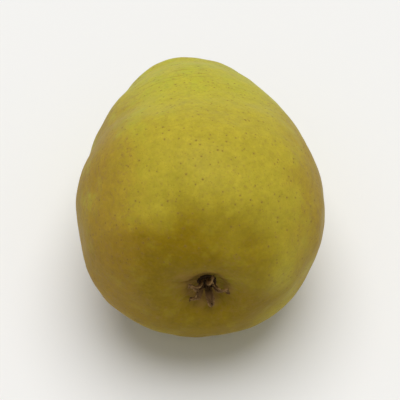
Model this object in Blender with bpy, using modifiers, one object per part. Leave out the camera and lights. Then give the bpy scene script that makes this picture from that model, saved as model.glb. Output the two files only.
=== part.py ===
"""A la france pear lying on its flank, with its stalk and its dried calyx.

Run it with: blender --background --python part.py

Metres, +Z up. The origin is on the small flat spot that the fruit rests on, under its weight.
The stalk end points along +Y and dips towards the floor; the calyx end faces -Y.

Each piece is modelled in the fruit's own upright frame, where +Z runs from the calyx to the stalk,
zero height is the base rim, and +Y is the side that ends up underneath. One empty lays it all down.
"""

import math
import random

import bmesh
import bpy
from mathutils import Matrix, Vector, noise

# Size of the fruit, in its own upright frame
LENGTH = 0.0955  # base rim to the shoulder round the stalk
BELLY_RADIUS = 0.0402
BELLY_HEIGHT = 0.0375
BASE_RIM_RADIUS = 0.0130
BASIN_DEPTH = 0.0058  # how far the calyx sits in from the base rim
TOP_RIM_RADIUS = 0.0098
CAVITY_DEPTH = 0.0030  # how far the stalk sits in from the shoulder
POLE_HANDLE = 0.0015  # how far the outline stays level beside the axis
OUTLINE_RESOLUTION = 3
FRUIT_STEPS = 64

# How the grown fruit departs from a turned one
NECK_LEAN = Vector((-0.0032, 0.0032, 0.0))  # where the shoulder stands off the belly's axis
LEAN_START = 0.35  # share of the length at which the lean begins
SHOULDER_TILT = Vector((0.160, -0.064, 0.0))  # the shoulder is higher on one side of the stalk
OVAL = 0.016  # the belly is this share wider one way than the other
OVAL_ANGLE = math.radians(8)
NECK_LOBES = 0.036  # three blunt corners round the neck
NECK_LOBES_ANGLE = math.radians(5)
BASE_LOBES = 0.022  # five swellings round the calyx, one for each seed chamber
BASE_LOBES_ANGLE = math.radians(63)
BASE_LOBES_REACH = 0.32  # share of the length over which they fade out
LUMP_HEIGHT = 0.0020
LUMP_SIZE = 0.030
DIMPLE_HEIGHT = 0.0007
DIMPLE_SIZE = 0.013
LUMP_PLACE = Vector((3.2, 8.1, 9.5))  # where in the noise this fruit's lumps are read
LUMP_FLATTEN = 0.8  # how much the lumps push along the length, against outward

# How it lies
NECK_DIP = math.radians(12.7)
REST_POINT = Vector((0.0, 0.0372, 0.0516))  # the spot on the flank that meets the floor
FLAT_DEPTH = 0.0003  # the flank is pressed flat by this much
REST_CALM = 0.85  # the lumps fade by this share where the fruit rests
REST_CALM_REACH = 0.026

# Stalk
STALK_ROOT_DEPTH = 0.0040
STALK_LENGTH = 0.0155  # above the bottom of its cavity
STALK_ROOT_RADIUS = 0.0029
STALK_WAIST_RADIUS = 0.0022
STALK_KNOB_RADIUS = 0.0033
STALK_SWING = Vector((0.0034, 0.0056, 0.0))  # how far its end leans from its root
STALK_FIRST_LEAN = 0.3  # share of the swing that its first stretch already points to

# Calyx, in a frame of its own with +Z pointing out of the basin
CUP_RADIUS = 0.0030
CUP_ROOT_DEPTH = 0.0030
CUP_STEPS = 28
SEPAL_COUNT = 5
SEPAL_LENGTH = 0.0054
SEPAL_ROOT_RADIUS = 0.0017
SEPAL_HALF_WIDTH = 0.0016
SEPAL_THICKNESS = 0.0007
SEPAL_RISE = 0.0045
SEPAL_CUPPING = 0.0006  # how much its edges stand above its middle
SEPAL_SEED = 14

FIT_GAP = 0.0003  # between the fruit and what is set in it
SOCKET_TOP = 0.0060  # how far a socket's cutter stands out of the fruit
SOCKET_SIDES = 32
FLOOR_BLOCK = 0.2
WELD_DISTANCE = 0.00001

SKIN_COLOUR = (0.40, 0.32, 0.045)
BARK_COLOUR = (0.13, 0.08, 0.04)
CALYX_COLOUR = (0.06, 0.04, 0.025)


def clear_scene():
    for thing in list(bpy.data.objects):
        bpy.data.objects.remove(thing)


def new_collection(name):
    collection = bpy.data.collections.new(name)
    bpy.context.scene.collection.children.link(collection)
    return collection


def linked(name, data, collection):
    thing = bpy.data.objects.new(name, data)
    collection.objects.link(thing)
    return thing


def plain_material(name, colour, roughness):
    material = bpy.data.materials.new(name)
    material.use_nodes = True
    shader = material.node_tree.nodes["Principled BSDF"]
    shader.inputs["Base Color"].default_value = (*colour, 1.0)
    shader.inputs["Roughness"].default_value = roughness
    shader.inputs["Metallic"].default_value = 0.0
    return material


def mesh_from(shape, name):
    """A mesh that takes over a bmesh's shape."""
    mesh = bpy.data.meshes.new(name)
    shape.to_mesh(mesh)
    shape.free()
    return mesh


def evaluated_mesh(thing):
    """The object's mesh with its modifiers applied, and with caps and seams welded."""
    bpy.context.view_layer.update()
    graph = bpy.context.evaluated_depsgraph_get()
    mesh = bpy.data.meshes.new_from_object(thing.evaluated_get(graph))
    shape = bmesh.new()
    shape.from_mesh(mesh)
    bmesh.ops.remove_doubles(shape, verts=shape.verts, dist=WELD_DISTANCE)
    shape.to_mesh(mesh)
    shape.free()
    return mesh


def smooth_line(name, points, resolution, collection):
    """A curve object with one smooth spline through the points."""
    curve = bpy.data.curves.new(name, "CURVE")
    curve.dimensions = "3D"
    curve.resolution_u = resolution
    spline = curve.splines.new("BEZIER")
    spline.bezier_points.add(len(points) - 1)
    for point, place in zip(spline.bezier_points, points):
        point.co = place
        point.handle_left_type = point.handle_right_type = "AUTO"
    return linked(name, curve, collection)


def turned_mesh(outline, pole_handle, resolution, steps):
    """A turned form. Its outline is (radius, height) points that run down its outer side, axis to axis."""
    places = [(radius, 0.0, height) for radius, height in outline]
    turned = smooth_line("outline", places, resolution, bpy.context.scene.collection)
    points = turned.data.splines[0].bezier_points
    for point in (points[0], points[-1]):
        point.handle_left_type = point.handle_right_type = "FREE"
        point.handle_left = point.handle_right = point.co + Vector((pole_handle, 0.0, 0.0))
    screw = turned.modifiers.new("Turn", "SCREW")
    screw.steps = screw.render_steps = steps
    screw.use_merge_vertices = True
    screw.merge_threshold = WELD_DISTANCE
    mesh = evaluated_mesh(turned)
    bpy.data.objects.remove(turned)
    return mesh


def eased(share):
    """A smooth step from 0 to 1."""
    share = min(max(share, 0.0), 1.0)
    return share * share * (3.0 - 2.0 * share)


def grown(point):
    """Where the grown fruit has a point of the turned one."""
    x, y, z = point
    angle = math.atan2(y, x)
    share = z / LENGTH
    body = eased(math.hypot(x, y) / BASE_RIM_RADIUS)
    neck = eased((share - LEAN_START) / (1.0 - LEAN_START))
    base = 1.0 - eased(share / BASE_LOBES_REACH)

    wider = 1.0 + OVAL * math.cos(2.0 * (angle - OVAL_ANGLE))
    wider += NECK_LOBES * neck * math.cos(3.0 * angle + NECK_LOBES_ANGLE)
    wider += BASE_LOBES * base * body * math.cos(5.0 * angle + BASE_LOBES_ANGLE)
    moved = Vector((x * wider, y * wider, z))
    moved.z += neck * neck * SHOULDER_TILT.dot(moved)
    moved += NECK_LEAN * neck

    outward = Vector((x, y, (z - BELLY_HEIGHT) * LUMP_FLATTEN)).normalized()
    lumps = LUMP_HEIGHT * noise.noise(point / LUMP_SIZE + LUMP_PLACE)
    lumps += DIMPLE_HEIGHT * noise.noise(point / DIMPLE_SIZE - LUMP_PLACE)
    calm = 1.0 - REST_CALM * math.exp(-((point - REST_POINT).length / REST_CALM_REACH) ** 2)
    return moved + outward * lumps * body * calm


def fruit_outline():
    """From the stalk's cavity over the shoulder, down the flank and into the calyx basin."""
    return [
        (0.0, LENGTH - CAVITY_DEPTH),
        (0.45 * TOP_RIM_RADIUS, LENGTH - 0.62 * CAVITY_DEPTH),
        (TOP_RIM_RADIUS, LENGTH),
        (0.0192, 0.0918),
        (0.0242, 0.0828),
        (0.0302, 0.0715),
        (0.0359, 0.0550),
        (BELLY_RADIUS, BELLY_HEIGHT),
        (0.0388, 0.0240),
        (0.0325, 0.0115),
        (0.0230, 0.0035),
        (BASE_RIM_RADIUS, 0.0),
        (0.0076, 0.38 * BASIN_DEPTH),
        (0.0040, 0.88 * BASIN_DEPTH),
        (0.0, BASIN_DEPTH),
    ]


def make_fruit(collection, lying):
    mesh = turned_mesh(fruit_outline(), POLE_HANDLE, OUTLINE_RESOLUTION, FRUIT_STEPS)
    for vertex in mesh.vertices:
        vertex.co = grown(vertex.co)
    mesh.shade_smooth()
    mesh.materials.append(plain_material("pear_skin", SKIN_COLOUR, 0.50))
    fruit = linked("fruit", mesh, collection)
    fruit.parent = lying
    return fruit


def stalk_frame():
    """The bottom of the stalk's cavity, with Z along the stalk's first stretch."""
    root = grown(Vector((0.0, 0.0, LENGTH - CAVITY_DEPTH)))
    first = STALK_SWING * STALK_FIRST_LEAN + Vector((0.0, 0.0, STALK_LENGTH))
    return Matrix.Translation(root) @ first.to_track_quat("Z", "Y").to_matrix().to_4x4()


def make_stalk(collection, lying):
    """A bent tube, straight in its socket, thick at the root and thickest where it was picked."""
    stations = [  # height above the cavity's bottom, share of the swing, radius
        (-STALK_ROOT_DEPTH, 0.0, 0.90 * STALK_ROOT_RADIUS),
        (0.0, 0.0, STALK_ROOT_RADIUS),
        (0.22 * STALK_LENGTH, 0.04, 0.88 * STALK_ROOT_RADIUS),
        (0.50 * STALK_LENGTH, 0.22, STALK_WAIST_RADIUS),
        (0.78 * STALK_LENGTH, 0.55, 1.12 * STALK_WAIST_RADIUS),
        (0.93 * STALK_LENGTH, 0.80, 0.93 * STALK_KNOB_RADIUS),
        (0.98 * STALK_LENGTH, 0.90, STALK_KNOB_RADIUS),
        (STALK_LENGTH, 0.94, 0.86 * STALK_KNOB_RADIUS),
    ]
    frame = stalk_frame()
    side = frame.to_3x3().inverted() @ STALK_SWING
    places = [frame @ Vector((side.x * swing, side.y * swing, height)) for height, swing, _ in stations]
    tube = smooth_line("stalk_line", places, OUTLINE_RESOLUTION, collection)
    tube.data.bevel_depth = 1.0
    tube.data.bevel_resolution = 4
    tube.data.use_fill_caps = True
    for point, (_, _, radius) in zip(tube.data.splines[0].bezier_points, stations):
        point.radius = radius
    mesh = evaluated_mesh(tube)
    mesh.shade_smooth()
    mesh.set_sharp_from_angle(angle=math.radians(50))
    mesh.materials.append(plain_material("stalk_bark", BARK_COLOUR, 0.80))
    bpy.data.objects.remove(tube)
    stalk = linked("stalk", mesh, collection)
    stalk.parent = lying
    return stalk


def calyx_frame():
    """The bottom of the basin, with Z pointing out of it."""
    bottom = grown(Vector((0.0, 0.0, BASIN_DEPTH)))
    return Matrix.Translation(bottom) @ Matrix.Rotation(math.pi, 4, "X")


def make_sepal(number, draw, collection):
    """One dried sepal: a pointed blade that climbs out of the cup and bends outward."""
    length = SEPAL_LENGTH * draw.uniform(0.85, 1.10)
    rise = SEPAL_RISE * draw.uniform(0.85, 1.15)
    twist = draw.uniform(-0.5, 0.5)
    shape = bmesh.new()
    bmesh.ops.create_grid(shape, x_segments=8, y_segments=4, size=1.0)
    for vertex in shape.verts:
        along = (vertex.co.x + 1.0) / 2.0
        across = vertex.co.y
        half = SEPAL_HALF_WIDTH * (0.45 + 0.55 * eased(1.7 * along))
        half *= 1.0 - 0.85 * eased((along - 0.35) / 0.65)
        reach = SEPAL_ROOT_RADIUS + length * (0.35 * along + 0.65 * along * along)
        lift = rise * math.sin(1.9 * along) + SEPAL_CUPPING * across * across * (1.0 - along)
        vertex.co = Vector((reach, across * half, lift + across * half * twist * along))
    turn = number * math.tau / SEPAL_COUNT + draw.uniform(-0.12, 0.12)
    bmesh.ops.rotate(shape, verts=shape.verts, matrix=Matrix.Rotation(turn, 3, "Z"))
    sepal = linked(f"sepal_{number}", mesh_from(shape, "sepal"), collection)
    solid = sepal.modifiers.new("Thickness", "SOLIDIFY")
    solid.thickness = SEPAL_THICKNESS
    solid.offset = 0.0


def cup_outline():
    """The dried cup: a stump of the style in the middle, a rim, and a root that goes into the fruit."""
    return [
        (0.0, 0.0016),
        (0.0006, 0.0014),
        (0.0011, 0.0002),
        (0.0019, 0.0001),
        (0.0026, 0.0010),
        (CUP_RADIUS, 0.0002),
        (CUP_RADIUS, -0.6 * CUP_ROOT_DEPTH),
        (0.7 * CUP_RADIUS, -CUP_ROOT_DEPTH),
        (0.0, -CUP_ROOT_DEPTH),
    ]


def make_calyx(collection, lying):
    """The dried cup with its sepals joined to it."""
    sepals = new_collection("sepals")
    draw = random.Random(SEPAL_SEED)
    for number in range(SEPAL_COUNT):
        make_sepal(number, draw, sepals)
    cup = linked("cup", turned_mesh(cup_outline(), 0.0002, 2, CUP_STEPS), collection)
    union = cup.modifiers.new("Join", "BOOLEAN")
    union.operation = "UNION"
    union.operand_type = "COLLECTION"
    union.collection = sepals
    mesh = evaluated_mesh(cup)
    for thing in (cup, *sepals.objects):
        bpy.data.objects.remove(thing)
    bpy.data.collections.remove(sepals)
    mesh.transform(calyx_frame())
    mesh.materials.append(plain_material("dried_calyx", CALYX_COLOUR, 0.85))
    calyx = linked("calyx", mesh, collection)
    calyx.parent = lying
    return calyx


def make_cutter(name, mesh, cutters):
    cutter = linked(name, mesh, cutters)
    cutter.hide_render = True
    cutter.display_type = "WIRE"
    return cutter


def make_socket_cutter(name, radius, depth, frame, cutters):
    """A cylinder along the frame's Z, from below a root to above the skin."""
    bottom = -depth - FIT_GAP
    middle = Matrix.Translation((0.0, 0.0, (bottom + SOCKET_TOP) / 2.0))
    shape = bmesh.new()
    bmesh.ops.create_cone(shape, cap_ends=True, segments=SOCKET_SIDES, radius1=radius + FIT_GAP,
                          radius2=radius + FIT_GAP, depth=SOCKET_TOP - bottom, matrix=frame @ middle)
    return make_cutter(name, mesh_from(shape, name), cutters)


def make_floor_cutter(cutters):
    """The block under the floor that leaves the resting spot flat."""
    shape = bmesh.new()
    below = Matrix.Translation((0.0, 0.0, -FLOOR_BLOCK / 2.0))
    bmesh.ops.create_cube(shape, size=FLOOR_BLOCK, matrix=below)
    return make_cutter("floor_block", mesh_from(shape, "floor_block"), cutters)


def cut(thing, cutter):
    boolean = thing.modifiers.new(cutter.name, "BOOLEAN")
    boolean.operation = "DIFFERENCE"
    boolean.object = cutter


def make_lying_empty(collection):
    """The empty that lays the upright fruit down on its resting spot."""
    turn = Matrix.Rotation(-(math.pi / 2.0 + NECK_DIP), 4, "X")
    place = -(turn @ REST_POINT) - Vector((0.0, 0.0, FLAT_DEPTH))
    lying = linked("lying", None, collection)
    lying.matrix_world = Matrix.Translation(place) @ turn
    return lying


def main():
    clear_scene()
    pear = new_collection("la_france_pear")
    cutters = new_collection("cutters")
    lying = make_lying_empty(pear)
    fruit = make_fruit(pear, lying)
    make_stalk(pear, lying)
    make_calyx(pear, lying)

    stalk_socket = make_socket_cutter("stalk_socket", STALK_ROOT_RADIUS, STALK_ROOT_DEPTH,
                                      stalk_frame(), cutters)
    calyx_socket = make_socket_cutter("calyx_socket", CUP_RADIUS, CUP_ROOT_DEPTH,
                                      calyx_frame(), cutters)
    for socket in (stalk_socket, calyx_socket):
        socket.parent = lying
        cut(fruit, socket)
    cut(fruit, make_floor_cutter(cutters))


main()
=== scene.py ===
"""The looks of a la france pear that lies on its flank: its skin, its stalk and its dried calyx.

It is laid out as a Blender add-on and run as a script. Metres, +Z up. Each piece is modelled in the
fruit's own upright frame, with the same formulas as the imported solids, and is then laid down as they
are. In that frame +Z runs from the calyx to the stalk, and +Y is the side that ends up underneath.
"""

import math
import random

import bmesh
import bpy
from bpy.props import FloatProperty, FloatVectorProperty, IntProperty, PointerProperty
from bpy.types import Operator, Panel, PropertyGroup
from mathutils import Matrix, Vector, noise


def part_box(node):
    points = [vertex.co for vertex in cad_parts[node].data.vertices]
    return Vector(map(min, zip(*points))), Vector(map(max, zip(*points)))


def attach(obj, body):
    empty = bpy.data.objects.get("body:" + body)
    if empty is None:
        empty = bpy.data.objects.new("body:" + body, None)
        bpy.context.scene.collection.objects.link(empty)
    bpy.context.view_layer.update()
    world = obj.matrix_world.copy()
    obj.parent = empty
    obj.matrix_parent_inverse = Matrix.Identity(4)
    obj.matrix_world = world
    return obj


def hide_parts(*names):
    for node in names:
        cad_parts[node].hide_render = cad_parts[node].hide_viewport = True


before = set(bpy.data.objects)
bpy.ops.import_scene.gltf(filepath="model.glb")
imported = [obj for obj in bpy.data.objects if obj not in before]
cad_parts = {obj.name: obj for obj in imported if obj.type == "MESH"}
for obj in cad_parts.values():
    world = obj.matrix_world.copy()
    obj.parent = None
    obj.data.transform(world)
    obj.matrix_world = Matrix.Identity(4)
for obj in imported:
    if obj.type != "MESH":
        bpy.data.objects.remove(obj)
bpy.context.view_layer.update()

bl_info = {
    "name": "La France Pear",
    "version": (1, 0, 0),
    "blender": (4, 5, 0),
    "location": "3D View > Sidebar > Pear",
    "description": "Dresses a lying pear with its skin, stalk and dried calyx on a pale floor",
    "category": "Object",
}

# The grown form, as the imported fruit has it
LENGTH = 0.0955
BELLY_RADIUS = 0.0402
BELLY_HEIGHT = 0.0375
BASE_RIM_RADIUS = 0.0130
BASIN_DEPTH = 0.0058
TOP_RIM_RADIUS = 0.0098
CAVITY_DEPTH = 0.0030
POLE_HANDLE = 0.0015
NECK_LEAN = Vector((-0.0032, 0.0032, 0.0))
LEAN_START = 0.35
SHOULDER_TILT = Vector((0.160, -0.064, 0.0))
OVAL = 0.016
OVAL_ANGLE = math.radians(8)
NECK_LOBES = 0.036
NECK_LOBES_ANGLE = math.radians(5)
BASE_LOBES = 0.022
BASE_LOBES_ANGLE = math.radians(63)
BASE_LOBES_REACH = 0.32
LUMP_HEIGHT = 0.0020
LUMP_SIZE = 0.030
DIMPLE_HEIGHT = 0.0007
DIMPLE_SIZE = 0.013
LUMP_PLACE = Vector((3.2, 8.1, 9.5))
LUMP_FLATTEN = 0.8
NECK_DIP = math.radians(12.7)
REST_POINT = Vector((0.0, 0.0372, 0.0516))
FLAT_DEPTH = 0.0003
REST_CALM = 0.85
REST_CALM_REACH = 0.026

# The stalk, as packed
STALK_ROOT_DEPTH = 0.0040
STALK_LENGTH = 0.0155
STALK_ROOT_RADIUS = 0.0029
STALK_WAIST_RADIUS = 0.0022
STALK_KNOB_RADIUS = 0.0033
STALK_SWING = Vector((0.0034, 0.0056, 0.0))
STALK_FIRST_LEAN = 0.3

# The calyx, as packed
CUP_RADIUS = 0.0030
CUP_ROOT_DEPTH = 0.0030
SEPAL_COUNT = 5
SEPAL_LENGTH = 0.0054
SEPAL_ROOT_RADIUS = 0.0017
SEPAL_HALF_WIDTH = 0.0016
SEPAL_RISE = 0.0045
SEPAL_CUPPING = 0.0006
SEPAL_SEED = 14

# The stalk's bark and picked face
RIDGE_LENGTH = 0.011
FINE_RIDGE_LENGTH = 0.007
KNOT_SIZE = 0.0016
BUD_SCAR_SPACING = 0.00075
BUD_SCAR_HEIGHT = 0.00007
ROOT_FLARE = 0.0007
ROOT_FLARE_REACH = 0.0018
FACE_SHARES = (0.94, 0.86, 0.74, 0.60, 0.46, 0.32, 0.18, 0.08, 0.0)  # of the radius, rim to middle
FACE_SUNK = 0.00055
PITH_HEIGHT = 0.00018
YOUNG_BARK_REACH = (0.0085, 0.0010)  # heights where it ends, and where it is full
BARK_STREAK_SIZE = 0.0009
BARK_BLOTCH_SIZE = 0.0035
PORE_SPACING = 0.0011
CRACK_SPACING = 0.0011
FACE_GRAIN_SIZE = 0.0005

# The small parts of the calyx, where a pair is the least and the most of a random draw
SEPAL_CURL = 0.0015
CUP_CRUMPLE_SIZE = 0.0012
STAMEN_RING_RADIUS = 0.00235
STAMEN_HEIGHT = (0.0012, 0.0026)
STAMEN_ASIDE = (-0.0009, 0.0009)
STAMEN_INWARD = (-0.0004, 0.0011)
STAMEN_RADIUS = 0.00011
STAMEN_HEAD_RADIUS = 0.00024
STYLE_RING_RADIUS = 0.0004
STYLE_HEIGHT = (0.0020, 0.0028)
STYLE_OUTWARD = (0.0006, 0.0011)
STYLE_RADIUS = 0.00016
STYLE_HEAD_RADIUS = 0.00020
CRUMB_SIZE = 0.0006
CUP_NUMBER = -1.0  # stored on the mesh, where the sepals are numbered from 0
THREAD_NUMBER = -2.0

# What the skin shows, and how large it is
DRIFT_SIZE = 0.034
PATCH_SIZE = 0.014
STREAK_SIZE = 0.0075
SWELLING_SIZE = 0.0085
FINE_SWELLING_SIZE = 0.0036
YELLOW_SPOT_SIZE = 0.0050
MOTTLE_SIZE = 0.0032
FLECK_SIZE = 0.0015
GRAIN_SIZE = 0.0009
FINE_DOT_SPACING = 0.0009
NET_CELL = 0.0024
ARC_SIZE = 0.0115
MARK_SPACING = 0.013
BUMP_SIZE = 0.0045
CORK_GRAIN_SIZE = 0.0005
FLANK_REACH = (0.014, 0.038)  # across the fruit: where the tan may start, and where it may be full
FLANK_MIDDLE = 0.004
STALK_RUSSET_REACH = (0.0175, 0.0070)  # distances where it ends, and where it is full
BASIN_RUSSET_REACH = (0.0125, 0.0045)
STALK_NET_REACH = (0.040, 0.012)
BASIN_NET_REACH = (0.030, 0.010)

# How finely the pieces are made: rows lie between two points of an outline
SKIN_ROWS, SKIN_SIDES = 20, 320
STALK_ROWS, STALK_SIDES = 12, 72
CUP_ROWS, CUP_SIDES = 6, 60
THREAD_ROWS, THREAD_SIDES = 5, 8
SEPAL_FACES_ALONG, SEPAL_FACES_ACROSS = 34, 16
FLOOR_SIDES = 96
WELD_DISTANCE = 0.000001
PLACE_DIGITS = 7
MILLIMETRE = 0.001

# The studio
FLOOR_RADIUS = 6.0
LIGHT_PLACE = Vector((0.03, 0.19, 0.90))  # only the direction counts
AIM_SHIFT = Vector((0.0, -0.006, -0.003))
SENSOR_WIDTH = 36.0  # millimetres, as Blender gives a sensor and a lens


class PearSkinLook(PropertyGroup):
    """Colours and relief of the skin."""

    olive: FloatVectorProperty(
        name="Olive", description="Ground colour of the belly",
        subtype="COLOR", min=0.0, max=1.0, default=(0.450, 0.366, 0.030))
    yellow_green: FloatVectorProperty(
        name="Yellow-green", description="Brighter ground colour towards the neck",
        subtype="COLOR", min=0.0, max=1.0, default=(0.480, 0.430, 0.036))
    lime: FloatVectorProperty(
        name="Lime", description="Greener streaks along the neck",
        subtype="COLOR", min=0.0, max=1.0, default=(0.430, 0.450, 0.034))
    # Painted shade in part: this deep olive darkens the calyx end and the flanks, the fruit's lower
    # side, as shade would, over its own deeper colour there.
    base_olive_and_shade: FloatVectorProperty(
        name="Base olive", description="Deeper ground colour towards the calyx",
        subtype="COLOR", min=0.0, max=1.0, default=(0.244, 0.160, 0.002))
    tan: FloatVectorProperty(
        name="Tan", description="Weathered patches on the flanks",
        subtype="COLOR", min=0.0, max=1.0, default=(0.352, 0.214, 0.021))
    russet: FloatVectorProperty(
        name="Russet", description="Corky skin round the stalk and in the basin, and the net",
        subtype="COLOR", min=0.0, max=1.0, default=(0.300, 0.180, 0.044))
    dot: FloatVectorProperty(
        name="Dots", description="Corky dots all over the skin",
        subtype="COLOR", min=0.0, max=1.0, default=(0.205, 0.128, 0.022))
    dot_spacing: FloatProperty(
        name="Dot spacing", description="Size of the cells that each hold one dot",
        subtype="DISTANCE", unit="LENGTH", precision=5, min=0.0005, default=0.0016)
    dot_radius: FloatProperty(
        name="Dot radius", description="Radius of the largest dots",
        subtype="DISTANCE", unit="LENGTH", precision=5, min=0.00005, default=0.00036)
    unevenness: FloatProperty(
        name="Unevenness", description="Height of the small swellings of the skin",
        subtype="DISTANCE", unit="LENGTH", precision=5, min=0.0, default=0.00022)
    pucker: FloatProperty(
        name="Puckers", description="Height of the folds that run into the cavity and the basin",
        subtype="DISTANCE", unit="LENGTH", precision=5, min=0.0, default=0.00045)
    roughness: FloatProperty(
        name="Roughness", description="Dullness of the bare skin between the dots",
        subtype="FACTOR", min=0.0, max=1.0, default=0.52)


class PearStalkLook(PropertyGroup):
    """Colours and relief of the stalk."""

    bark: FloatVectorProperty(
        name="Bark", description="Main colour of the bark",
        subtype="COLOR", min=0.0, max=1.0, default=(0.142, 0.092, 0.038))
    young_bark: FloatVectorProperty(
        name="Young bark", description="Greener bark where the stalk leaves the fruit",
        subtype="COLOR", min=0.0, max=1.0, default=(0.260, 0.190, 0.050))
    pore: FloatVectorProperty(
        name="Pores", description="Pale pores in the bark",
        subtype="COLOR", min=0.0, max=1.0, default=(0.420, 0.310, 0.180))
    scar: FloatVectorProperty(
        name="Scar", description="The face where it was picked",
        subtype="COLOR", min=0.0, max=1.0, default=(0.060, 0.034, 0.018))
    ridge: FloatProperty(
        name="Ridges", description="Height of the ridges along the stalk",
        subtype="DISTANCE", unit="LENGTH", precision=5, min=0.0, default=0.00024)
    knots: FloatProperty(
        name="Knots", description="Height of the small swellings on the bark",
        subtype="DISTANCE", unit="LENGTH", precision=5, min=0.0, default=0.00014)


class PearCalyxLook(PropertyGroup):
    """Colours and form of the dried calyx."""

    sepal: FloatVectorProperty(
        name="Sepal", description="Main colour of the dried sepals",
        subtype="COLOR", min=0.0, max=1.0, default=(0.125, 0.066, 0.022))
    sepal_edge: FloatVectorProperty(
        name="Sepal edge", description="Paler, papery edges and tips",
        subtype="COLOR", min=0.0, max=1.0, default=(0.290, 0.175, 0.064))
    cup: FloatVectorProperty(
        name="Cup", description="The dried cup between the sepals",
        subtype="COLOR", min=0.0, max=1.0, default=(0.060, 0.033, 0.014))
    sepal_thickness: FloatProperty(
        name="Sepal thickness", description="Thickness of a dried sepal",
        subtype="DISTANCE", unit="LENGTH", precision=5, min=0.0001, default=0.00042)
    crinkle: FloatProperty(
        name="Crinkle", description="How far a sepal's surface wrinkles",
        subtype="DISTANCE", unit="LENGTH", precision=5, min=0.0, default=0.00032)
    stamens: IntProperty(
        name="Stamens", description="Withered stamens left round the cup's rim",
        min=0, max=40, default=18)


class PearStudio(PropertyGroup):
    """The floor, the light and the camera."""

    floor_tone: FloatVectorProperty(
        name="Floor", description="Colour of the plain floor",
        subtype="COLOR", min=0.0, max=1.0, default=(0.86, 0.86, 0.855))
    light_strength: FloatProperty(
        name="Light", description="Strength of the broad light overhead",
        subtype="POWER", min=0.0, default=2.20)
    light_spread: FloatProperty(
        name="Light spread", description="How broad the overhead light looks from the pear",
        subtype="ANGLE", unit="ROTATION", default=math.radians(50.0))
    sky_strength: FloatProperty(
        name="Fill", description="Strength of the even light from all round",
        subtype="FACTOR", min=0.0, max=4.0, default=0.37)
    camera_elevation: FloatProperty(
        name="Camera elevation", description="Angle of the camera above the floor",
        subtype="ANGLE", unit="ROTATION", default=math.radians(58.0))
    camera_yaw: FloatProperty(
        name="Camera turn", description="How far the camera stands to the left of the pear's own line",
        subtype="ANGLE", unit="ROTATION", default=math.radians(3.2))
    camera_distance: FloatProperty(
        name="Camera distance", description="From the camera to the middle of the pear",
        subtype="DISTANCE", unit="LENGTH", min=0.1, default=0.68)
    view_width: FloatProperty(
        name="View width", description="What the picture takes in at the pear",
        subtype="DISTANCE", unit="LENGTH", min=0.05, default=0.130)


def eased(share):
    """A smooth step from 0 to 1."""
    share = min(max(share, 0.0), 1.0)
    return share * share * (3.0 - 2.0 * share)


def bell(distance, width):
    """1 in the middle, falling smoothly to 0 over about two widths."""
    return math.exp(-((distance / width) ** 2))


def mixed(share, first, second):
    """Part of the way from the first number to the second."""
    return first + (second - first) * share


def grown(point):
    """Where the grown fruit has a point of the turned one."""
    x, y, z = point
    angle = math.atan2(y, x)
    share = z / LENGTH
    body = eased(math.hypot(x, y) / BASE_RIM_RADIUS)
    neck = eased((share - LEAN_START) / (1.0 - LEAN_START))
    base = 1.0 - eased(share / BASE_LOBES_REACH)

    wider = 1.0 + OVAL * math.cos(2.0 * (angle - OVAL_ANGLE))
    wider += NECK_LOBES * neck * math.cos(3.0 * angle + NECK_LOBES_ANGLE)
    wider += BASE_LOBES * base * body * math.cos(5.0 * angle + BASE_LOBES_ANGLE)
    moved = Vector((x * wider, y * wider, z))
    moved.z += neck * neck * SHOULDER_TILT.dot(moved)
    moved += NECK_LEAN * neck

    outward = Vector((x, y, (z - BELLY_HEIGHT) * LUMP_FLATTEN)).normalized()
    lumps = LUMP_HEIGHT * noise.noise(point / LUMP_SIZE + LUMP_PLACE)
    lumps += DIMPLE_HEIGHT * noise.noise(point / DIMPLE_SIZE - LUMP_PLACE)
    calm = 1.0 - REST_CALM * bell((point - REST_POINT).length, REST_CALM_REACH)
    return moved + outward * lumps * body * calm


def lying_place():
    """Lays the upright fruit down on its resting spot."""
    turn = Matrix.Rotation(-(math.pi / 2.0 + NECK_DIP), 4, "X")
    place = -(turn @ REST_POINT) - Vector((0.0, 0.0, FLAT_DEPTH))
    return Matrix.Translation(place) @ turn


def stalk_place():
    """The bottom of the stalk's cavity, with Z along the stalk's first stretch."""
    root = grown(Vector((0.0, 0.0, LENGTH - CAVITY_DEPTH)))
    first = STALK_SWING * STALK_FIRST_LEAN + Vector((0.0, 0.0, STALK_LENGTH))
    return Matrix.Translation(root) @ first.to_track_quat("Z", "Y").to_matrix().to_4x4()


def calyx_place():
    """The bottom of the basin, with Z pointing out of it."""
    bottom = grown(Vector((0.0, 0.0, BASIN_DEPTH)))
    return Matrix.Translation(bottom) @ Matrix.Rotation(math.pi, 4, "X")


def sampled_line(points, steps, pole_handle=None):
    """Points along one smooth Bezier line, with this many steps between two of its own points."""
    curve = bpy.data.curves.new("line", "CURVE")
    curve.dimensions = "3D"
    curve.resolution_u = steps
    spline = curve.splines.new("BEZIER")
    spline.bezier_points.add(len(points) - 1)
    for point, place in zip(spline.bezier_points, points):
        point.co = place
        point.handle_left_type = point.handle_right_type = "AUTO"
    if pole_handle:
        for point in (spline.bezier_points[0], spline.bezier_points[-1]):
            point.handle_left_type = point.handle_right_type = "FREE"
            point.handle_left = point.handle_right = point.co + Vector((pole_handle, 0.0, 0.0))
    line = bpy.data.objects.new("line", curve)
    bpy.context.scene.collection.objects.link(line)
    bpy.context.view_layer.update()
    mesh = line.evaluated_get(bpy.context.evaluated_depsgraph_get()).to_mesh()
    samples = [vertex.co.copy() for vertex in mesh.vertices]
    bpy.data.objects.remove(line)
    bpy.data.curves.remove(curve)
    return samples


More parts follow.
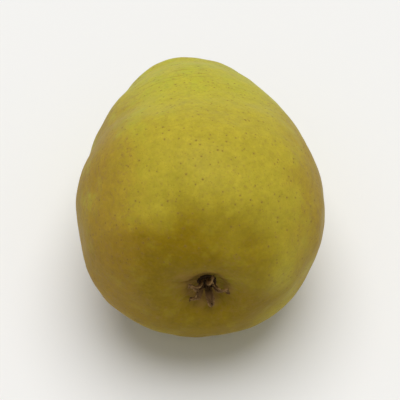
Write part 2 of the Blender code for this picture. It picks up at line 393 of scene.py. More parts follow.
def wrapped_skin(rows, sides, place):
    """A closed bmesh of rings: place(row, angle) says where each point goes."""
    shape = bmesh.new()
    bmesh.ops.create_grid(shape, x_segments=rows - 1, y_segments=sides, size=1.0)
    for vertex in shape.verts:
        row = round((vertex.co.x + 1.0) / 2.0 * (rows - 1))
        angle = math.tau * round((vertex.co.y + 1.0) / 2.0 * sides) / sides
        vertex.co = place(row, angle % math.tau)
    bmesh.ops.remove_doubles(shape, verts=shape.verts, dist=WELD_DISTANCE)
    bmesh.ops.recalc_face_normals(shape, faces=shape.faces)
    return shape


def outward_faces(shape):
    """Turns a closed bmesh right side out."""
    if shape.calc_volume(signed=True) < 0.0:
        bmesh.ops.reverse_faces(shape, faces=shape.faces)


def new_piece(name, shape, material, place):
    """An object with the bmesh's shape, smooth and laid down where it belongs."""
    mesh = bpy.data.meshes.new(name)
    outward_faces(shape)
    shape.transform(place)
    shape.to_mesh(mesh)
    shape.free()
    mesh.shade_smooth()
    mesh.materials.append(material)
    piece = bpy.data.objects.new(name, mesh)
    bpy.context.scene.collection.objects.link(piece)
    return piece


class Finish:
    """A material, with a short call for each kind of node that its finish is made of."""

    def __init__(self, name):
        self.material = bpy.data.materials.new(name)
        self.material.use_nodes = True
        self.tree = self.material.node_tree
        self.shader = self.tree.nodes["Principled BSDF"]

    def put(self, kind, settings, inputs):
        """A node of this kind, with its settings and with what goes into its sockets."""
        node = self.tree.nodes.new(kind)
        for name, value in settings.items():
            setattr(node, name, value)
        for name, value in inputs.items():
            self.feed(node.inputs[name], value)
        return node

    def feed(self, socket, value):
        """Links another node's output to the socket, or sets the socket's own value."""
        if isinstance(value, bpy.types.NodeSocket):
            self.tree.links.new(value, socket)
        elif socket.type == "RGBA":
            socket.default_value = (*value[:3], 1.0)
        else:
            socket.default_value = value

    def place(self):
        """The place on the upright fruit."""
        laid = self.put("ShaderNodeTexCoord", {}, {}).outputs["Object"]
        lying = lying_place()
        return self.put("ShaderNodeMapping", {"vector_type": "TEXTURE"}, {
            "Vector": laid, "Location": lying.translation, "Rotation": lying.to_euler()}).outputs[0]

    def stored(self, name):
        """A value that the mesh stores for each point."""
        return self.put("ShaderNodeAttribute", {"attribute_name": name}, {}).outputs["Vector"]

    def split(self, vector):
        """The three numbers of a vector or a colour."""
        return self.put("ShaderNodeSeparateXYZ", {}, {"Vector": vector}).outputs

    def sum(self, first, second):
        return self.maths("ADD", first, second)

    def product(self, first, second):
        return self.maths("MULTIPLY", first, second)

    def maths(self, operation, first, second=0.0):
        return self.put("ShaderNodeMath", {"operation": operation}, {0: first, 1: second}).outputs[0]

    def swing(self, value, amount):
        """How far the value is from 0.5, times the amount."""
        return self.product(self.sum(value, -0.5), amount)

    def most(self, *values):
        """The largest of several values."""
        result = values[0]
        for value in values[1:]:
            result = self.maths("MAXIMUM", result, value)
        return result

    def stretched(self, vector, shares):
        return self.put("ShaderNodeVectorMath", {"operation": "MULTIPLY"},
                        {0: vector, 1: shares}).outputs[0]

    def shifted(self, vector, offset):
        return self.put("ShaderNodeVectorMath", {"operation": "ADD"}, {0: vector, 1: offset}).outputs[0]

    def from_point(self, vector, point):
        """Distance from a point."""
        away = self.put("ShaderNodeVectorMath", {"operation": "DISTANCE"}, {0: vector, 1: point})
        return away.outputs["Value"]

    def cloud(self, vector, size, detail=2.0, roughness=0.5):
        """Soft noise with features of about this size, around 0.5."""
        return self.put("ShaderNodeTexNoise", {}, {
            "Vector": vector, "Scale": 1.0 / size, "Detail": detail,
            "Roughness": roughness}).outputs[0]

    def bent(self, vector, size, amount):
        """The place, pushed about by noise."""
        push = self.put("ShaderNodeTexNoise", {},
                        {"Vector": vector, "Scale": 1.0 / size, "Detail": 2.0})
        middle = self.put("ShaderNodeVectorMath", {"operation": "SUBTRACT"},
                          {0: push.outputs["Color"], 1: (0.5, 0.5, 0.5)}).outputs[0]
        return self.shifted(vector, self.put("ShaderNodeVectorMath", {"operation": "SCALE"},
                                             {0: middle, "Scale": amount}).outputs[0])

    def cells(self, vector, size, feature="F1"):
        """Cells of about this size: the distance to a middle or an edge, and a colour for each."""
        return self.put("ShaderNodeTexVoronoi", {"feature": feature},
                        {"Vector": vector, "Scale": 1.0 / size}).outputs

    def step(self, value, start, end):
        """Rises smoothly from 0 at start to 1 at end, also where end is the smaller."""
        return self.put("ShaderNodeMapRange", {"interpolation_type": "SMOOTHSTEP"}, {
            "Value": value, "From Min": start, "From Max": end, "To Min": 0.0, "To Max": 1.0}).outputs[0]

    def scaled(self, value, low, high):
        """A 0 to 1 value as one from low to high."""
        return self.put("ShaderNodeMapRange", {}, {
            "Value": value, "From Min": 0.0, "From Max": 1.0, "To Min": low, "To Max": high}).outputs[0]

    def blend(self, share, first, second):
        """The first colour at 0, the second at 1; they are the node's inputs 6 and 7, output 2."""
        return self.put("ShaderNodeMix", {"data_type": "RGBA"},
                        {0: share, 6: first, 7: second}).outputs[2]

    def coat(self, colour, share, strength, over):
        """A second colour over the first, where the share says and as strongly as given."""
        return self.blend(self.product(share, strength), colour, over)

    def shade(self, colour, brightness):
        """The colour made brighter or darker."""
        return self.put("ShaderNodeHueSaturation", {}, {"Color": colour, "Value": brightness}).outputs[0]

    def relief(self, height):
        """Bumps whose height is given in millimetres."""
        bump = self.put("ShaderNodeBump", {},
                        {"Strength": 1.0, "Distance": MILLIMETRE, "Height": height})
        self.feed(self.shader.inputs["Normal"], bump.outputs[0])

    def cover(self, colour, roughness):
        self.feed(self.shader.inputs["Base Color"], colour)
        self.feed(self.shader.inputs["Roughness"], roughness)

    def set_shader(self, values):
        """Sets even values on the shader's own sockets."""
        for name, value in values.items():
            self.shader.inputs[name].default_value = value


def ground_colour(skin, look, place, x, along):
    """Deeper towards the calyx and on the flanks, partly the fruit's own colour and partly painted shade
    of its lower side; brighter towards the neck, with greener streaks on its left.
    """
    drift = skin.cloud(skin.shifted(place, (0.05, 0.02, 0.03)), DRIFT_SIZE)
    to_neck = skin.sum(along, skin.swing(drift, 0.30))
    less_on_flanks = skin.product(skin.maths("ABSOLUTE", x), -2.6)
    more_on_right = skin.product(x, 1.2)
    past_base_and_shade = skin.sum(skin.sum(to_neck, less_on_flanks), more_on_right)
    # Painted shade, in part: the deep base olive spreads from the calyx end up the flanks and darkens
    # the fruit's lower side as shade would.
    colour = skin.blend(skin.step(past_base_and_shade, -0.015, 0.098), look.base_olive_and_shade, look.olive)
    more_on_left = skin.product(x, -1.6)
    neckward = skin.sum(to_neck, more_on_left)
    colour = skin.blend(skin.step(neckward, 0.34, 0.76), colour, look.yellow_green)

    drawn_out = skin.stretched(skin.shifted(place, (0.02, 0.06, 0.04)), (1.0, 1.0, 0.5))
    streaks = skin.step(skin.cloud(drawn_out, STREAK_SIZE, 3.0, 0.6), 0.44, 0.62)
    much_more_on_left = skin.product(x, -8.0)
    greener_left = skin.step(skin.sum(neckward, much_more_on_left), 0.34, 0.76)
    return skin.coat(colour, skin.product(streaks, greener_left), 0.50, look.lime)


def weathering(skin, x, along, patches, mottle, grain):
    """Where the flanks are weathered: patches with speckled edges, fewer towards the neck."""
    flank = skin.step(skin.maths("ABSOLUTE", skin.sum(x, -FLANK_MIDDLE)), *FLANK_REACH)
    speckle = skin.sum(skin.swing(mottle, 0.34), skin.swing(grain, 0.20))
    patchy = skin.sum(skin.sum(patches, speckle), skin.product(flank, 0.21))
    patchy = skin.product(flank, skin.step(patchy, 0.40, 0.66))
    return skin.product(patchy, skin.step(along, 0.86, 0.60))


def corky_dots(skin, look, place):
    """Dots and their soft halos, of many sizes, and finer dots between them."""
    radius = look.dot_radius / look.dot_spacing
    bent = skin.bent(place, size=0.0007, amount=0.0004)
    distance, tint = skin.cells(bent, look.dot_spacing)[:2]
    chance, kept, _ = skin.split(tint)
    size = skin.product(skin.scaled(chance, 0.45, 1.1),
                        skin.scaled(skin.step(kept, 0.26, 0.40), 0.3, 1.0))
    measured = skin.maths("DIVIDE", distance, size)
    dots = skin.step(measured, radius, 0.45 * radius)
    halos = skin.step(measured, 2.1 * radius, 0.8 * radius)
    fine_distance = skin.cells(skin.shifted(place, (0.05, 0.02, 0.09)), FINE_DOT_SPACING)[0]
    return dots, halos, skin.step(fine_distance, 0.24, 0.12)


def corky_russet(skin, place, along, patches, mottle, weathered):
    """Russet: solid in the cavity and the basin, with a net and short arcs round them."""
    ragged = skin.swing(patches, 0.030)
    from_stalk = skin.sum(skin.from_point(place, stalk_place().translation), ragged)
    from_basin = skin.sum(skin.from_point(place, calyx_place().translation), ragged)
    solid = skin.most(skin.step(from_stalk, *STALK_RUSSET_REACH),
                      skin.step(from_basin, *BASIN_RUSSET_REACH))
    solid = skin.product(solid, skin.step(mottle, 0.30, 0.56))

    net_region = skin.most(skin.step(from_stalk, *STALK_NET_REACH),
                           skin.step(from_basin, *BASIN_NET_REACH),
                           skin.product(weathered, 0.55))
    bent = skin.bent(place, size=0.0030, amount=0.0022)
    edge = skin.cells(bent, NET_CELL, "DISTANCE_TO_EDGE")[0]
    net = skin.product(skin.step(edge, 0.15, 0.02), skin.step(patches, 0.44, 0.60))
    net = skin.product(net, net_region)

    flattened = skin.stretched(skin.bent(place, size=0.012, amount=0.004), (1.0, 1.0, 9.0))
    arcs = skin.step(skin.cloud(flattened, ARC_SIZE, 2.0, 0.6), 0.585, 0.66)
    arcs = skin.product(arcs, skin.step(along, 0.50, 0.80))
    arcs = skin.product(arcs, skin.step(patches, 0.40, 0.56))
    return skin.most(skin.product(solid, 0.90), skin.product(net, 0.34), skin.product(arcs, 0.42))


def small_marks(skin, place):
    """A brown mark in a few of the cells."""
    distance, tint = skin.cells(skin.bent(place, size=0.0025, amount=0.0016), MARK_SPACING)[:2]
    in_few = skin.step(skin.split(tint)[1], 0.55, 0.60)
    return skin.product(skin.step(distance, 0.075, 0.035), in_few)


def skin_finish(look):
    """Olive and yellow-green, with tan flanks, corky dots, mottling and russet at both ends."""
    skin = Finish("pear_skin")
    place = skin.place()
    x, _, height = skin.split(place)
    along = skin.product(height, 1.0 / LENGTH)
    patches = skin.cloud(skin.shifted(place, (0.11, 0.04, 0.07)), PATCH_SIZE, 4.0, 0.55)
    mottle = skin.cloud(place, MOTTLE_SIZE, 4.0, 0.62)
    grain = skin.cloud(place, GRAIN_SIZE)

    colour = ground_colour(skin, look, place, x, along)
    weathered = weathering(skin, x, along, patches, mottle, grain)
    colour = skin.coat(colour, weathered, 0.84, look.tan)
    yellow_spots = skin.step(skin.cloud(place, YELLOW_SPOT_SIZE, 3.0, 0.6), 0.52, 0.70)
    colour = skin.coat(colour, yellow_spots, 0.14, look.yellow_green)

    # Mottling at two sizes, and flecks that are strongest on the weathered patches
    colour = skin.shade(colour, skin.scaled(mottle, 0.76, 1.24))
    colour = skin.shade(colour, skin.scaled(grain, 0.86, 1.14))
    flecks = skin.cloud(skin.shifted(place, (0.03, 0.08, 0.01)), FLECK_SIZE, 3.0, 0.62)
    fleck_strength = skin.scaled(skin.most(weathered, skin.step(patches, 0.58, 0.74)), 0.14, 0.52)
    colour = skin.coat(colour, skin.step(flecks, 0.53, 0.64), fleck_strength, look.russet)

    dots, halos, fine_dots = corky_dots(skin, look, place)
    colour = skin.coat(colour, halos, 0.26, look.russet)
    colour = skin.coat(colour, dots, 0.66, look.dot)
    colour = skin.coat(colour, fine_dots, 0.30, look.dot)
    cork = corky_russet(skin, place, along, patches, mottle, weathered)
    colour = skin.blend(cork, colour, look.russet)
    colour = skin.coat(colour, small_marks(skin, place), 0.75, look.dot)

    roughness = skin.sum(look.roughness, skin.swing(mottle, 0.25))
    rougher = skin.most(cork, skin.product(dots, 0.6))
    skin.cover(colour, skin.sum(roughness, skin.product(rougher, 0.30)))

    bumps = skin.cloud(place, BUMP_SIZE, 3.0)
    height_mm = skin.sum(skin.product(bumps, 0.28), skin.product(grain, 0.050))
    height_mm = skin.sum(height_mm, skin.product(dots, 0.050))
    height_mm = skin.sum(height_mm, skin.product(cork, 0.045))
    cork_grain = skin.product(cork, skin.cloud(place, CORK_GRAIN_SIZE))
    skin.relief(skin.sum(height_mm, skin.product(cork_grain, 0.06)))
    skin.set_shader({"Subsurface Weight": 0.06, "Subsurface Radius": (1.0, 0.75, 0.15),
                     "Subsurface Scale": 0.0014, "IOR": 1.38, "Specular IOR Level": 0.14})
    return skin.material


def skin_relief(point, look):
    """How far the real skin stands out from the smooth fruit at a point of the turned one."""
    x, y, z = point
    angle = math.atan2(y, x)
    radius = math.hypot(x, y)
    round_place = Vector((math.cos(angle), math.sin(angle), 0.0))

    upper = z > LENGTH / 2.0
    fold = noise.noise(round_place * 2.1 + Vector((4.0, 7.0, 2.0 if upper else 9.0)))
    fold += 0.5 * noise.noise(round_place * 4.6 + Vector((1.0, 3.0, 5.0)))
    middle = 0.55 * (TOP_RIM_RADIUS if upper else BASE_RIM_RADIUS)
    at_end = 1.0 if upper else 1.0 - eased((z - 0.5 * BASIN_DEPTH) / LENGTH * 6.0)
    in_end = bell(radius - middle, 0.62 * middle) * at_end
    folds = look.pucker * 2.0 * (abs(fold) - 0.25) * in_end

    swellings = noise.noise(point / SWELLING_SIZE + Vector((7.0, 1.0, 4.0)))
    swellings += 0.45 * noise.noise(point / FINE_SWELLING_SIZE + Vector((2.0, 6.0, 3.0)))
    away_from_rest = 1.0 - bell((point - REST_POINT).length, REST_CALM_REACH)
    return folds + look.unevenness * swellings * eased(radius / middle) * away_from_rest


def fruit_outline():
    """From the stalk's cavity over the shoulder, down the flank and into the calyx basin."""
    return [
        (0.0, LENGTH - CAVITY_DEPTH),
        (0.45 * TOP_RIM_RADIUS, LENGTH - 0.62 * CAVITY_DEPTH),
        (TOP_RIM_RADIUS, LENGTH),
        (0.0192, 0.0918),
        (0.0242, 0.0828),
        (0.0302, 0.0715),
        (0.0359, 0.0550),
        (BELLY_RADIUS, BELLY_HEIGHT),
        (0.0388, 0.0240),
        (0.0325, 0.0115),
        (0.0230, 0.0035),
        (BASE_RIM_RADIUS, 0.0),
        (0.0076, 0.38 * BASIN_DEPTH),
        (0.0040, 0.88 * BASIN_DEPTH),
        (0.0, BASIN_DEPTH),
    ]


class PEAR_OT_skin(Operator):
    """Grow the pear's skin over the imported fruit"""

    bl_idname = "pear.skin"
    bl_label = "Skin"

    def execute(self, context):
        look = context.scene.pear_skin
        outline = [(radius, 0.0, height) for radius, height in fruit_outline()]
        line = sampled_line(outline, SKIN_ROWS, POLE_HANDLE)
        lying = lying_place()
        upright = lying.inverted()

        def skin_point(row, angle):
            radius, height = line[row].x, line[row].z
            turned = Vector((radius * math.cos(angle), radius * math.sin(angle), height))
            outward = Vector((turned.x, turned.y, (height - BELLY_HEIGHT) * LUMP_FLATTEN)).normalized()
            laid = lying @ (grown(turned) + outward * skin_relief(turned, look))
            laid.z = max(laid.z, 0.0)
            return upright @ laid

        shape = wrapped_skin(len(line), SKIN_SIDES, skin_point)
        piece = new_piece("skin", shape, skin_finish(look), lying)
        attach(piece, "root")
        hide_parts("fruit")
        return {"FINISHED"}


def stalk_stations():
    """Height above the cavity's bottom, share of the swing, and radius, from the root up."""
    return [
        (-STALK_ROOT_DEPTH, 0.0, 0.90 * STALK_ROOT_RADIUS),
        (0.0, 0.0, STALK_ROOT_RADIUS),
        (0.22 * STALK_LENGTH, 0.04, 0.88 * STALK_ROOT_RADIUS),
        (0.50 * STALK_LENGTH, 0.22, STALK_WAIST_RADIUS),
        (0.78 * STALK_LENGTH, 0.55, 1.12 * STALK_WAIST_RADIUS),
        (0.93 * STALK_LENGTH, 0.80, 0.93 * STALK_KNOB_RADIUS),
        (0.98 * STALK_LENGTH, 0.90, STALK_KNOB_RADIUS),
        (STALK_LENGTH, 0.94, 0.86 * STALK_KNOB_RADIUS),
    ]


def stalk_rings(side):
    """Middle, direction, radius and height of each ring, from the root's tip to the picked face."""
    stations = stalk_stations()
    line = [Vector((side.x * swing, side.y * swing, height)) for height, swing, _ in stations]
    middles = sampled_line(line, STALK_ROWS)
    rings = []
    for number, middle in enumerate(middles):
        station = min(number // STALK_ROWS, len(stations) - 2)
        share = eased(number / STALK_ROWS - station)
        radius = mixed(share, stations[station][2], stations[station + 1][2])
        ahead = middles[min(number + 1, len(middles) - 1)] - middles[max(number - 1, 0)]
        rings.append((middle, ahead.normalized(), radius, middle.z))
    middle, ahead, radius, height = rings[0]
    root_tip = [(middle, ahead, radius * share, height) for share in (0.0, 0.5)]
    middle, ahead, radius, height = rings[-1]
    face = []
    for share in FACE_SHARES:
        sunk = FACE_SUNK * eased((0.95 - share) / 0.6) - PITH_HEIGHT * bell(share, 0.3)
        face.append((middle - ahead * sunk, ahead, radius * share, height))
    return root_tip + rings + face


def stalk_finish(look):
    """Brown bark with ridges and pale pores, greener near the fruit, dark where it was picked."""
    bark = Finish("stalk_bark")
    place = bark.stored("straight")
    _, _, height = bark.split(place)
    streaks = bark.cloud(bark.stretched(place, (1.0, 1.0, 0.22)), BARK_STREAK_SIZE, 4.0, 0.6)
    blotches = bark.cloud(place, BARK_BLOTCH_SIZE, 3.0, 0.6)
    young = bark.step(bark.sum(height, bark.swing(blotches, 0.006)), *YOUNG_BARK_REACH)
    colour = bark.blend(young, look.bark, look.young_bark)
    colour = bark.shade(colour, bark.scaled(streaks, 0.30, 1.70))
    colour = bark.shade(colour, bark.scaled(blotches, 0.75, 1.25))
    pore_distance = bark.cells(bark.stretched(place, (1.0, 1.0, 1.6)), PORE_SPACING)[0]
    pores = bark.step(pore_distance, 0.26, 0.13)
    colour = bark.coat(colour, pores, 0.55, look.pore)
    drawn_out = bark.bent(bark.stretched(place, (1.0, 1.0, 0.30)), size=0.002, amount=0.0006)
    cracks = bark.step(bark.cells(drawn_out, CRACK_SPACING, "DISTANCE_TO_EDGE")[0], 0.10, 0.02)
    cracks = bark.product(cracks, bark.step(blotches, 0.40, 0.62))
    colour = bark.coat(colour, cracks, 0.55, look.scar)
    picked = bark.split(bark.stored("picked"))[0]
    face_grain = bark.cloud(place, FACE_GRAIN_SIZE, 3.0, 0.6)
    scar = bark.blend(bark.step(face_grain, 0.40, 0.66), look.scar, look.bark)
    colour = bark.blend(bark.step(picked, 0.35, 0.75), colour, scar)
    bark.cover(colour, bark.scaled(streaks, 0.62, 0.92))
    height_mm = bark.sum(bark.product(streaks, 0.22), bark.product(pores, 0.07))
    height_mm = bark.sum(height_mm, bark.product(cracks, -0.08))
    height_mm = bark.sum(height_mm, bark.product(face_grain, 0.07))
    bark.relief(height_mm)
    return bark.material


def store_points(piece, name, values):
    """Stores one vector for each point of the piece's mesh."""
    attribute = piece.data.attributes.new(name, "FLOAT_VECTOR", "POINT")
    attribute.data.foreach_set("vector", [part for value in values for part in value])


class PEAR_OT_stalk(Operator):
    """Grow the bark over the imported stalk"""

    bl_idname = "pear.stalk"
    bl_label = "Stalk"

    def execute(self, context):
        look = context.scene.pear_stalk
        place = stalk_place()
        side = place.to_3x3().inverted() @ STALK_SWING
        rings = stalk_rings(side)
        rim = len(rings) - 1 - len(FACE_SHARES)
        straight_of, picked_of = {}, {}  # for each place, because welding renumbers the points

        def bark_point(row, angle):
            middle, ahead, radius, height = rings[row]
            tilt = Vector((0.0, 0.0, 1.0)).rotation_difference(ahead)
            around = Vector((math.cos(angle), math.sin(angle), 0.0))
            share = height / STALK_LENGTH
            ridges = noise.noise(around * 2.4 + Vector((0.0, 0.0, height / RIDGE_LENGTH)))
            ridges += 0.5 * noise.noise(around * 5.2 + Vector((3.0, 0.0, height / FINE_RIDGE_LENGTH)))
            knots = noise.noise(around * radius / KNOT_SIZE + Vector((5.0, 2.0, height / KNOT_SIZE)))
            scars = math.cos(height / BUD_SCAR_SPACING + 2.0 * noise.noise(around * 1.5))
            scars *= eased((share - 0.72) / 0.12)
            full = radius / STALK_KNOB_RADIUS
            relief = full * (look.ridge * ridges + look.knots * knots + BUD_SCAR_HEIGHT * scars)
            flare = ROOT_FLARE * bell(max(height, 0.0), ROOT_FLARE_REACH) * full
            wide = max(radius + relief + flare, 0.0) if radius > 0.0 else 0.0
            point = middle + tilt @ (around * wide)
            key = point.to_tuple(PLACE_DIGITS)
            straight_of[key] = (around.x * wide, around.y * wide, height)
            picked_of[key] = (eased((row - rim) / 2.0), 0.0, 0.0)
            return point

        shape = wrapped_skin(len(rings), STALK_SIDES, bark_point)
        keys = [vertex.co.to_tuple(PLACE_DIGITS) for vertex in shape.verts]
        piece = new_piece("stalk_bark", shape, stalk_finish(look), lying_place() @ place)
        store_points(piece, "straight", [straight_of[key] for key in keys])
        store_points(piece, "picked", [picked_of[key] for key in keys])
        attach(piece, "root")
        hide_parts("stalk")
        return {"FINISHED"}


def sepal_shape(number, draw, look):
    """One dried sepal: a pointed, crinkled blade that climbs out of the cup and bends outward."""
    length = SEPAL_LENGTH * draw.uniform(0.85, 1.10)
    rise = SEPAL_RISE * draw.uniform(0.85, 1.15)
    twist = draw.uniform(-0.5, 0.5)
    turn = number * math.tau / SEPAL_COUNT + draw.uniform(-0.12, 0.12)
    shape = bmesh.new()
    bmesh.ops.create_grid(shape, x_segments=SEPAL_FACES_ALONG, y_segments=SEPAL_FACES_ACROSS,
                          size=1.0)
    blade = shape.verts.layers.float_vector.new("blade")
    for vertex in shape.verts:
        along = (vertex.co.x + 1.0) / 2.0
        across = vertex.co.y
        seed = Vector((along * 3.4, across * 1.7, number * 5.3))
        half = SEPAL_HALF_WIDTH * (0.45 + 0.55 * eased(1.7 * along))
        half *= 1.0 - 0.94 * eased((along - 0.30) / 0.70)
        jagged = noise.noise(Vector((along * 6.0, math.copysign(3.0, across), number * 2.7)))
        half *= 1.0 + 0.22 * jagged
        reach = SEPAL_ROOT_RADIUS + length * (0.35 * along + 0.65 * along * along)
        lift = rise * math.sin(1.9 * along) + SEPAL_CUPPING * across * across * (1.0 - along)
        crinkle = look.crinkle * noise.noise(seed) * 1.8
        creases = math.cos(across * 7.0 + 2.0 * noise.noise(seed))
        crinkle += 0.4 * look.crinkle * creases * (1.0 - 0.5 * along)
        curl = SEPAL_CURL * abs(across) ** 3 * eased(along * 1.4) * (0.6 + noise.noise(seed * 0.6))
        vertex[blade] = Vector((along, across, float(number)))
        vertex.co = Vector((reach, across * half, lift + across * half * twist * along + crinkle + curl))
    bmesh.ops.rotate(shape, verts=shape.verts, matrix=Matrix.Rotation(turn, 3, "Z"))
    faces = list(shape.faces)
    bmesh.ops.recalc_face_normals(shape, faces=faces)
    bmesh.ops.solidify(shape, geom=faces, thickness=look.sepal_thickness)
    return shape


def numbered(shape, along, number):
    """Stores one place along a blade, and the number, for all points of a shape that isn't a blade."""
    blade = shape.verts.layers.float_vector.new("blade")
    for vertex in shape.verts:
        vertex[blade] = Vector((along, 0.0, number))
    return shape


def cup_outline():
    """The dried cup: a stump of the style in the middle, a rim, and a root that goes into the fruit."""
    return [
        (0.0, 0.0016),
        (0.0006, 0.0014),
        (0.0011, 0.0002),
        (0.0019, 0.0001),
        (0.0026, 0.0010),
        (CUP_RADIUS, 0.0002),
        (CUP_RADIUS, -0.6 * CUP_ROOT_DEPTH),
        (0.7 * CUP_RADIUS, -CUP_ROOT_DEPTH),
        (0.0, -CUP_ROOT_DEPTH),
    ]


def cup_shape():
    """The cup, crumpled all round except at its two ends."""
    line = sampled_line([(radius, 0.0, height) for radius, height in cup_outline()], CUP_ROWS, 0.0002)

    def cup_point(row, angle):
        around = Vector((math.cos(angle), math.sin(angle), 0.0))
        radius, height = line[row].x, line[row].z
        crumples = noise.noise(around * 2.6 + Vector((0.0, 0.0, height / CUP_CRUMPLE_SIZE)))
        crumpled = 1.0 + 0.16 * eased(radius / 0.0008) * crumples
        return around * radius * crumpled + Vector((0.0, 0.0, height * crumpled))

    shape = wrapped_skin(len(line), CUP_SIDES, cup_point)
    outward_faces(shape)
    return numbered(shape, 0.0, CUP_NUMBER)


def thread_shape(points, radius, head_radius):
    """A withered thread through the points, with a small head."""
    line = sampled_line(points, THREAD_ROWS)
    count = len(line)

    def thread_point(row, angle):
        share = row / (count - 1)
        head = bell(share - 0.90, 0.07)
        ahead = (line[min(row + 1, count - 1)] - line[max(row - 1, 0)]).normalized()
        wide = mixed(share, radius, 0.7 * radius) + head * (head_radius - radius)
        wide *= 0.0 if row in (0, count - 1) else 1.0
        around = Vector((math.cos(angle), math.sin(angle), 0.0))
        return line[row] + Vector((0.0, 0.0, 1.0)).rotation_difference(ahead) @ (around * wide)

    shape = wrapped_skin(count, THREAD_SIDES, thread_point)
    outward_faces(shape)
    return numbered(shape, 0.6, THREAD_NUMBER)


def stamen_shapes(count, draw):
    """Stamens round the rim of the cup, dried and bent over, and the stumps of the styles inside."""
    for number in range(count):
        angle = math.tau * (number + draw.uniform(-0.3, 0.3)) / count
        out = Vector((math.cos(angle), math.sin(angle), 0.0))
        aside = Vector((-out.y, out.x, 0.0)) * draw.uniform(*STAMEN_ASIDE)
        tall = draw.uniform(*STAMEN_HEIGHT)
        inward = draw.uniform(*STAMEN_INWARD)
        root = out * STAMEN_RING_RADIUS
        yield thread_shape([root, root + out * 0.0001 + Vector((0.0, 0.0, 0.6 * tall)),
                            root - out * 0.4 * inward + 0.5 * aside + Vector((0.0, 0.0, tall)),
                            root - out * inward + aside + Vector((0.0, 0.0, 1.12 * tall))],
                           STAMEN_RADIUS, STAMEN_HEAD_RADIUS)
    for number in range(SEPAL_COUNT):
        angle = math.tau * (number + 0.4) / SEPAL_COUNT
        out = Vector((math.cos(angle), math.sin(angle), 0.0))
        tall = draw.uniform(*STYLE_HEIGHT)
        root = out * STYLE_RING_RADIUS
        yield thread_shape([root, root + out * 0.0001 + Vector((0.0, 0.0, 0.6 * tall)),
                            out * draw.uniform(*STYLE_OUTWARD) + Vector((0.0, 0.0, tall))],
                           STYLE_RADIUS, STYLE_HEAD_RADIUS)


def calyx_finish(look):
    """Dark, dry and crinkled, with papery edges and a dull fuzz."""
    dry = Finish("dried_calyx")
    place = dry.place()
    along, across, number = dry.split(dry.stored("blade"))
    veins = dry.cloud(dry.stretched(dry.stored("blade"), (1.5, 7.0, 3.0)), 1.0, 3.0, 0.6)
    crumbs = dry.cloud(place, CRUMB_SIZE, 3.0, 0.6)
    margin = dry.step(dry.maths("ABSOLUTE", across), 0.80, 1.02)
    papery = dry.most(dry.product(margin, dry.step(crumbs, 0.42, 0.60)),
                      dry.product(dry.step(along, 0.35, 1.05), dry.step(veins, 0.36, 0.62)))
    colour = dry.coat(look.sepal, papery, 0.85, look.sepal_edge)
    colour = dry.blend(dry.step(number, CUP_NUMBER + 0.6, CUP_NUMBER + 0.4), colour, look.cup)
    colour = dry.blend(dry.step(number, THREAD_NUMBER + 0.6, THREAD_NUMBER + 0.4), colour, look.sepal)
    colour = dry.shade(colour, dry.scaled(veins, 0.45, 1.55))
    colour = dry.shade(colour, dry.scaled(crumbs, 0.70, 1.30))
    dry.cover(colour, dry.scaled(crumbs, 0.70, 0.95))
    dry.relief(dry.sum(dry.product(crumbs, 0.09), dry.product(veins, 0.05)))
    dry.set_shader({"Specular IOR Level": 0.15, "Sheen Weight": 0.02, "Sheen Roughness": 0.6,
                    "Sheen Tint": (0.75, 0.55, 0.36, 1.0)})
    return dry.material


class PEAR_OT_calyx(Operator):
    """Grow the dried sepals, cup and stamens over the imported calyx"""

    bl_idname = "pear.calyx"
    bl_label = "Calyx"

    def execute(self, context):
        look = context.scene.pear_calyx
        draw = random.Random(SEPAL_SEED)
        parts = [sepal_shape(number, draw, look) for number in range(SEPAL_COUNT)]
        parts.append(cup_shape())
        parts.extend(stamen_shapes(look.stamens, draw))
        whole = bmesh.new()
        whole.verts.layers.float_vector.new("blade")
        for part in parts:
            mesh = bpy.data.meshes.new("part")
            part.to_mesh(mesh)
            part.free()
            whole.from_mesh(mesh)
            bpy.data.meshes.remove(mesh)
        piece = new_piece("calyx_dried", whole, calyx_finish(look), lying_place() @ calyx_place())
        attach(piece, "root")
        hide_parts("calyx")
        return {"FINISHED"}


def make_floor(tone):
    """A wide, matte floor under the pear."""
    shape = bmesh.new()
    bmesh.ops.create_circle(shape, cap_ends=True, segments=FLOOR_SIDES, radius=FLOOR_RADIUS)
    mesh = bpy.data.meshes.new("floor")
    shape.to_mesh(mesh)
    shape.free()
    matte = Finish("floor")
    matte.cover(tone, 0.7)
    matte.set_shader({"Specular IOR Level": 0.2})
    mesh.materials.append(matte.material)
    floor = bpy.data.objects.new("floor", mesh)
    bpy.context.scene.collection.objects.link(floor)


def make_light(strength, spread, place):
    """A broad, even light from overhead and a little behind."""
    light = bpy.data.lights.new("overhead", "SUN")
    light.energy = strength
    light.angle = spread
    light.color = (1.0, 0.99, 0.97)
    lamp = bpy.data.objects.new("overhead", light)
    lamp.location = place
    lamp.rotation_euler = (-place).to_track_quat("-Z", "Y").to_euler()
    bpy.context.scene.collection.objects.link(lamp)


def make_sky(strength, tone):
    """Even fill light; the camera sees the floor's own tone behind the horizon."""
    world = bpy.data.worlds.new("sky")
    world.use_nodes = True
    tree = world.node_tree
    fill = tree.nodes["Background"]
    fill.inputs["Color"].default_value = (1.0, 1.0, 1.0, 1.0)
    fill.inputs["Strength"].default_value = strength
    seen = tree.nodes.new("ShaderNodeBackground")
    seen.inputs["Color"].default_value = (*tone, 1.0)
    seen.inputs["Strength"].default_value = 1.0
    rays = tree.nodes.new("ShaderNodeLightPath")
    both = tree.nodes.new("ShaderNodeMixShader")
    tree.links.new(rays.outputs["Is Camera Ray"], both.inputs[0])
    tree.links.new(fill.outputs[0], both.inputs[1])
    tree.links.new(seen.outputs[0], both.inputs[2])
    tree.links.new(both.outputs[0], tree.nodes["World Output"].inputs["Surface"])
    return world


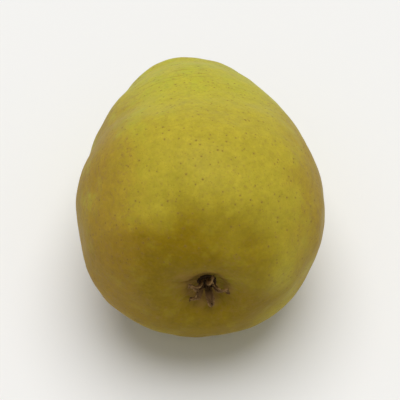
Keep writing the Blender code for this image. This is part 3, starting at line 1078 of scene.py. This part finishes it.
class PEAR_OT_studio(Operator):
    """Set up the pale floor, the soft light and the camera"""

    bl_idname = "pear.studio"
    bl_label = "Studio"

    def execute(self, context):
        studio = context.scene.pear_studio
        low, high = (Vector(corner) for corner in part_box("fruit"))
        aim = (low + high) / 2.0 + AIM_SHIFT
        make_floor(studio.floor_tone)
        make_light(studio.light_strength, studio.light_spread, LIGHT_PLACE)
        context.scene.world = make_sky(studio.sky_strength, studio.floor_tone)
        context.scene.view_settings.view_transform = "Standard"

        elevation, yaw = studio.camera_elevation, studio.camera_yaw
        level = math.cos(elevation)
        back = Vector((-math.sin(yaw) * level, -math.cos(yaw) * level, math.sin(elevation)))
        lens = bpy.data.cameras.new("camera")
        lens.sensor_width = SENSOR_WIDTH
        lens.lens = SENSOR_WIDTH * studio.camera_distance / studio.view_width
        lens.clip_start = 0.01
        camera = bpy.data.objects.new("camera", lens)
        camera.location = aim + back * studio.camera_distance
        camera.rotation_euler = (-back).to_track_quat("-Z", "Y").to_euler()
        context.scene.collection.objects.link(camera)
        context.scene.camera = camera
        return {"FINISHED"}


class PEAR_PT_panel(Panel):
    """The pear's pieces and the sizes and colours that drive them"""

    bl_idname = "PEAR_PT_panel"
    bl_label = "La France Pear"
    bl_space_type = "VIEW_3D"
    bl_region_type = "UI"
    bl_category = "Pear"

    def draw(self, context):
        scene = context.scene
        groups = ((PEAR_OT_skin, scene.pear_skin), (PEAR_OT_stalk, scene.pear_stalk),
                  (PEAR_OT_calyx, scene.pear_calyx), (PEAR_OT_studio, scene.pear_studio))
        for operator, group in groups:
            box = self.layout.box()
            for name in group.bl_rna.properties.keys():
                if name not in {"rna_type", "name"}:
                    box.prop(group, name)
            box.operator(operator.bl_idname)


CLASSES = (PearSkinLook, PearStalkLook, PearCalyxLook, PearStudio, PEAR_OT_skin, PEAR_OT_stalk,
           PEAR_OT_calyx, PEAR_OT_studio, PEAR_PT_panel)


def register():
    for item in CLASSES:
        bpy.utils.register_class(item)
    bpy.types.Scene.pear_skin = PointerProperty(type=PearSkinLook)
    bpy.types.Scene.pear_stalk = PointerProperty(type=PearStalkLook)
    bpy.types.Scene.pear_calyx = PointerProperty(type=PearCalyxLook)
    bpy.types.Scene.pear_studio = PointerProperty(type=PearStudio)


def unregister():
    del bpy.types.Scene.pear_studio
    del bpy.types.Scene.pear_calyx
    del bpy.types.Scene.pear_stalk
    del bpy.types.Scene.pear_skin
    for item in reversed(CLASSES):
        bpy.utils.unregister_class(item)


def main():
    register()
    bpy.ops.pear.skin()
    bpy.ops.pear.stalk()
    bpy.ops.pear.calyx()
    bpy.ops.pear.studio()


if __name__ == "__main__":
    main()
